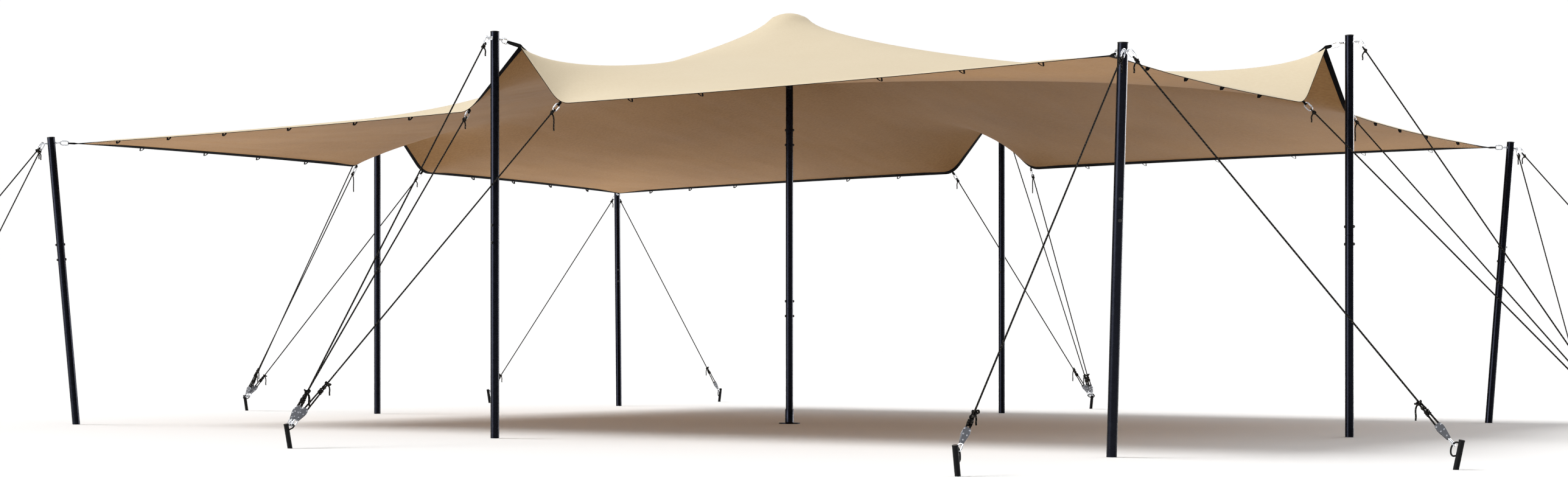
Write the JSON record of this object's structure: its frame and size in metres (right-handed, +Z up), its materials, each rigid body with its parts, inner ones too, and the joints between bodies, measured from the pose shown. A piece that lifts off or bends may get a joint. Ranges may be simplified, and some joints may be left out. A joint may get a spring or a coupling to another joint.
{
  "type": "stretch tent",
  "caption": "Open-sided stretch tent: one tensioned fabric canopy on leaning corner poles, raised side poles and a tall centre pole, stayed by taut ropes to stakes.",
  "frame": {"origin": "on the ground under the centre pole, at the middle of the bottom of the bounding box", "axes": "+Z up, +X along the tent's long side, -Y the front; both vertical planes are mirror planes"},
  "size_m": [14.3312, 12.0112, 3.606],
  "materials": {
    "stretch_cloth": "cream stretch knit with a woven look, warm brown on its underside, black webbing on its edges",
    "black_pole": "satin black coated tube, with bright zinc-plated eyebolts and hooks",
    "black_head": "black moulded head under the cloth",
    "black_rope": "black braided rope with pale tracer flecks, bright steel fittings",
    "black_stake": "black coated steel, bright where it is struck"
  },
  "bodies": {
    "root": {"canopy": "stretch_cloth", "centre_base_plate": "black_pole", "centre_pole": "black_pole", "centre_pole_head": "black_head", "corner_pole_front_left": "black_pole", "corner_pole_front_right": "black_pole", "corner_pole_back_left": "black_pole", "corner_pole_back_right": "black_pole", "side_pole_front": "black_pole", "side_pole_right": "black_pole", "side_pole_back": "black_pole", "side_pole_left": "black_pole", "guy_front_left_long": "black_rope", "stake_front_left_long": "black_stake", "guy_front_left_short": "black_rope", "stake_front_left_short": "black_stake", "guy_front_right_long": "black_rope", "stake_front_right_long": "black_stake", "guy_front_right_short": "black_rope", "stake_front_right_short": "black_stake", "guy_back_left_long": "black_rope", "stake_back_left_long": "black_stake", "guy_back_left_short": "black_rope", "stake_back_left_short": "black_stake", "guy_back_right_long": "black_rope", "stake_back_right_long": "black_stake", "guy_back_right_short": "black_rope", "stake_back_right_short": "black_stake", "guy_front_a": "black_rope", "guy_front_b": "black_rope", "guy_front_pole": "black_rope", "stake_front": "black_stake", "guy_right_a": "black_rope", "guy_right_b": "black_rope", "guy_right_pole": "black_rope", "stake_right": "black_stake", "guy_back_a": "black_rope", "guy_back_b": "black_rope", "guy_back_pole": "black_rope", "stake_back": "black_stake", "guy_left_a": "black_rope", "guy_left_b": "black_rope", "guy_left_pole": "black_rope", "stake_left": "black_stake"}
  },
  "joints": []
}
